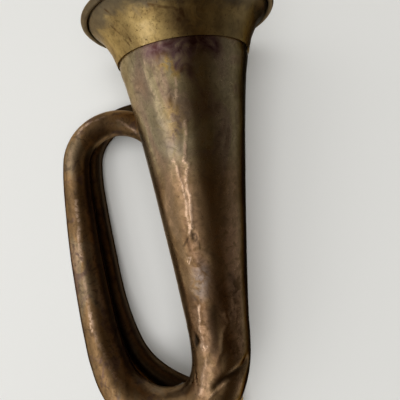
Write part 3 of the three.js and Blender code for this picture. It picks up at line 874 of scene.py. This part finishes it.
# Distances along the axis from the mouthpipe's front end
MOUTHPIPE_LENGTH = 152
RECEIVER_START = 145
RECEIVER_END = 166
MOUTHPIECE_RIM = (place(*MOUTHPIECE_END) - PIPE_START).length / MM
SHANK_DEPTH = 12                  # how far the mouthpiece goes into the receiver


def on_pipe(node, outline, sides, body, material):
    grid = turned(outline, sides, PIPE_START, PIPE_AXIS)
    piece = loft(f"{node}_turned", grid, body, material)
    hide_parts(node)


def arc(centre, radius, start, end, steps=6):
    """Points of an arc in an outline, in degrees from along to out."""
    return [(centre[0] + radius * cos(radians(start + (end - start) * i / steps)),
             centre[1] + radius * sin(radians(start + (end - start) * i / steps)))
            for i in range(steps + 1)]


def mouthpipe():
    front, rear = PIPE_RADII
    on_pipe("mouthpipe", [(0, front), (MOUTHPIPE_LENGTH, rear), (MOUTHPIPE_LENGTH, rear - WALL),
                          (0, front - WALL)], TURNED_SIDES, "bugle", COPPER)


def receiver():
    start, end, shoulder = RECEIVER_START, RECEIVER_END, MOUTHPIPE_LENGTH + 0.2
    sleeve = PIPE_RADII[1] + 0.1
    front_bead = [(start, 6.4), (start + 0.4, 6.8), (start + 2, 7.1), (start + 4, 6.9)]
    body = [(start + 5, 6.75), (end - 6, 6.75), (end - 4.4, 6.9)]
    rear_bead = arc((end - 2.1, 6.3), 1.4, 160, 20, 8)
    bore = [(end, 6.6), (end, 5.4), (shoulder, 4.8), (shoulder, sleeve)]
    on_pipe("mouthpiece_receiver", [(start, sleeve), *front_bead, *body, *rear_bead, *bore],
            TURNED_SIDES, "bugle", BRASS)


def mouthpiece():
    tip, rim = RECEIVER_END - SHANK_DEPTH, MOUTHPIECE_RIM
    shank = [(tip, 4.5), (rim - 34, 5.1), (rim - 33, 5.7), (rim - 31.4, 5.7)]
    cup_outside = smooth_line([(rim - 30, 5.2), (rim - 26, 5.5), (rim - 22, 7), (rim - 18, 9.1),
                               (rim - 12, 11), (rim - 6.4, 11.5)], 5)
    outer_rim = [(rim - 5.4, 12.2), (rim - 4.4, 12.8), *arc((rim - 2.6, 10.6), 2.4, 120, 30, 6)]
    inner_rim = arc((rim - 1.5, 10.2), 1.5, 60, -90, 8)[2:-2]
    cup_inside = smooth_line([(rim - 1.2, 8.6), (rim - 4, 8), (rim - 9, 6.8), (rim - 13.4, 4.6),
                              (rim - 16, 2.4)], 5)
    backbore = [(rim - 22, 2), (tip, 3.6)]
    on_pipe("mouthpiece", [*shank, *cup_outside, *outer_rim, *inner_rim, *cup_inside, *backbore],
            96, "mouthpiece", SILVER)


def ferrule(node, axis, radius):
    """A plain band with a turned bead at each end, over a tube of this radius."""
    bore = radius + GAP
    half = 4
    bead, inset = 0.6, 0.7
    skin = bore + 0.45
    profile = [(-half, bore), *arc((inset - half, bore + 0.1), bead, 180, 0),
               (-half + 1.8, skin), (half - 1.8, skin),
               *arc((half - inset, bore + 0.1), bead, 180, 0), (half, bore)]
    grid = turned(profile, TURNED_SIDES, middle(node), axis)
    piece = loft(f"{node}_band", grid, "bugle", BRASS)
    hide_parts(node)


mouthpipe()
receiver()
mouthpiece()
branch_axis = (middle("ferrule_rear_bow_1") - middle("ferrule_front_bow_2")).normalized()
ferrule("ferrule_front_bow_2", branch_axis, 7.2)
ferrule("ferrule_rear_bow_1", branch_axis, 7.05)
ferrule("ferrule_front_bow_1", PIPE_AXIS, 6.2)


# ---- Castings and rings: rounded copies of the frame's own solids ----


def rounded_copy(node, width, material):
    """A new piece with the node's shape and softened edges."""
    obj = bpy.data.objects.new(f"{node}_casting", frame["nodes"][node].data.copy())
    bpy.context.scene.collection.objects.link(obj)
    obj.data.materials.clear()
    obj.data.materials.append(material)
    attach(obj, "bugle")
    weld = obj.modifiers.new("weld", "WELD")
    weld.merge_threshold = 0.01 * MM
    bevel = obj.modifiers.new("edges", "BEVEL")
    bevel.width = width * MM
    bevel.segments = 3
    bevel.limit_method = "ANGLE"
    bevel.angle_limit = radians(50)
    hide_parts(node)


STAYS = ("stay_cone_front", "stay_cone_rear", "stay_rear_bows", "stay_lower_branches",
         "stay_mouthpipe")
for stay in STAYS:
    rounded_copy(stay, 0.5, SOLDER)
for lug in ("lanyard_lug_front", "lanyard_lug_rear"):
    rounded_copy(lug, 0.35, BRASS)


RING_RADIUS = 7                   # to the middle of its wire
RING_STEPS = 72
WIRE_SIDES = 20


def ring(node, body, axis):
    """A wire ring, worn a little thinner where it hangs."""
    up, side = basis(axis) if abs(axis.z) < 0.9 else (Vector((1, 0, 0)), Vector((0, 1, 0)))
    centre = middle(node)
    rings = []
    for i in range(RING_STEPS):
        turn = 2 * pi * i / RING_STEPS
        out = up * cos(turn) + side * sin(turn)
        wire = 1.0 - 0.12 * max(0.0, cos(turn)) ** 6
        rings.append([centre + (out * (RING_RADIUS + wire * cos(a)) + axis * wire * sin(a)) * MM
                      for a in np.linspace(0, 2 * pi, WIRE_SIDES, endpoint=False)])
    piece = loft(f"{node}_wire", np.array(rings), body, BRASS)
    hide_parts(node)


ring("lanyard_ring_front", "ring_front", Vector((0, 1, 0)))
ring("lanyard_ring_rear", "ring_rear", Vector((1, 0, 0)))

# The rim wire keeps its own mesh, hidden inside the roll
frame["nodes"]["rim_wire"].data.materials.clear()
frame["nodes"]["rim_wire"].data.materials.append(SOLDER)

# ---- Table, light and camera ----


def table():
    half = 4.0
    z = cad_bounds[0][2]
    mesh = bpy.data.meshes.new("table")
    mesh.from_pydata([(-half, -half, z), (half, -half, z), (half, half, z), (-half, half, z)], [],
                     [(0, 1, 2, 3)])
    f = Finish("pale table")
    f.finish((0.80, 0.803, 0.785, 1), roughness=0.55, metallic=0.0, edge=(1, 1, 1, 1))
    mesh.materials.append(f.material)
    obj = bpy.data.objects.new("table", mesh)
    bpy.context.scene.collection.objects.link(obj)


def softbox(name, from_zenith, distance, length, width, radiance, mirrored=True):
    """A soft light over the bugle, leaning to the loop side, its long side along the bugle."""
    light = bpy.data.lights.new(name, "AREA")
    light.shape = "RECTANGLE"
    light.size = length
    light.size_y = width
    light.energy = radiance * pi * length * width
    obj = bpy.data.objects.new(name, light)
    obj.location = Vector((0, sin(from_zenith), cos(from_zenith))) * distance
    obj.rotation_euler = (-from_zenith, 0, 0)
    obj.visible_glossy = mirrored
    bpy.context.scene.collection.objects.link(obj)


# The room's light by direction, from the plain side (-1) to the loop side (1)
ROOM = [
    (-1.0, (0.17, 0.165, 0.16)), (-0.85, (0.11, 0.10, 0.085)), (-0.55, (0.045, 0.028, 0.011)),
    (-0.14, (0.055, 0.036, 0.016)), (0.1, (0.23, 0.215, 0.185)), (0.36, (0.50, 0.495, 0.48)),
    (0.8, (0.68, 0.68, 0.665)), (1.0, (0.52, 0.52, 0.51)),
]
WALLS = (0.19, 0.185, 0.175)      # the least light from near the horizon


def room():
    """Soft light all round, brighter on the loop side."""
    world = bpy.data.worlds.new("room")
    bpy.context.scene.world = world
    world.use_nodes = True
    tree = world.node_tree
    direction = tree.nodes.new("ShaderNodeTexCoord").outputs["Generated"]
    split = tree.nodes.new("ShaderNodeSeparateXYZ")
    tree.links.new(direction, split.inputs[0])
    place_on_ramp = tree.nodes.new("ShaderNodeMapRange")
    place_on_ramp.inputs["From Min"].default_value = -1.0
    tree.links.new(split.outputs["Y"], place_on_ramp.inputs["Value"])
    ramp = tree.nodes.new("ShaderNodeValToRGB")
    elements = ramp.color_ramp.elements
    while len(elements) < len(ROOM):
        elements.new(0.5)
    for element, (sideways, colour) in zip(elements, ROOM):
        element.position = (sideways + 1) / 2
        element.color = (*colour, 1)
    tree.links.new(place_on_ramp.outputs["Result"], ramp.inputs["Fac"])
    low = tree.nodes.new("ShaderNodeMapRange")
    for socket, value in (("From Min", 0.08), ("From Max", 0.25), ("To Min", 1.0), ("To Max", 0.0)):
        low.inputs[socket].default_value = value
    tree.links.new(split.outputs["Z"], low.inputs["Value"])
    walls = tree.nodes.new("ShaderNodeMix")
    walls.data_type = "RGBA"
    walls.blend_type = "LIGHTEN"
    walls.inputs[7].default_value = (*WALLS, 1)
    tree.links.new(low.outputs["Result"], walls.inputs[0])
    tree.links.new(ramp.outputs["Color"], walls.inputs[6])
    tree.links.new(walls.outputs[2], tree.nodes["Background"].inputs["Color"])


# The camera's place from the rim's centre, in millimetres, and its turns
CAMERA_FROM_RIM = Vector((-88.79, 1.0, 204.2))
CAMERA_TILT = radians(1.27)
CAMERA_TURN = radians(-97.5)


def camera():
    data = bpy.data.cameras.new("camera")
    data.lens = 36
    data.sensor_width = 36
    data.clip_start = 0.01
    obj = bpy.data.objects.new("camera", data)
    obj.matrix_world = (Matrix.Translation(RIM_CENTRE + CAMERA_FROM_RIM * MM)
                        @ Matrix.Rotation(CAMERA_TILT, 4, "Y")
                        @ Matrix.Rotation(CAMERA_TURN, 4, "Z"))
    bpy.context.scene.collection.objects.link(obj)
    bpy.context.scene.camera = obj


table()
softbox("key", radians(48), distance=1.0, length=1.4, width=0.62, radiance=0.65)
softbox("overhead", radians(4), distance=1.2, length=1.0, width=1.0, radiance=3.45,
        mirrored=False)
room()
camera()
bpy.context.scene.view_settings.view_transform = "Standard"
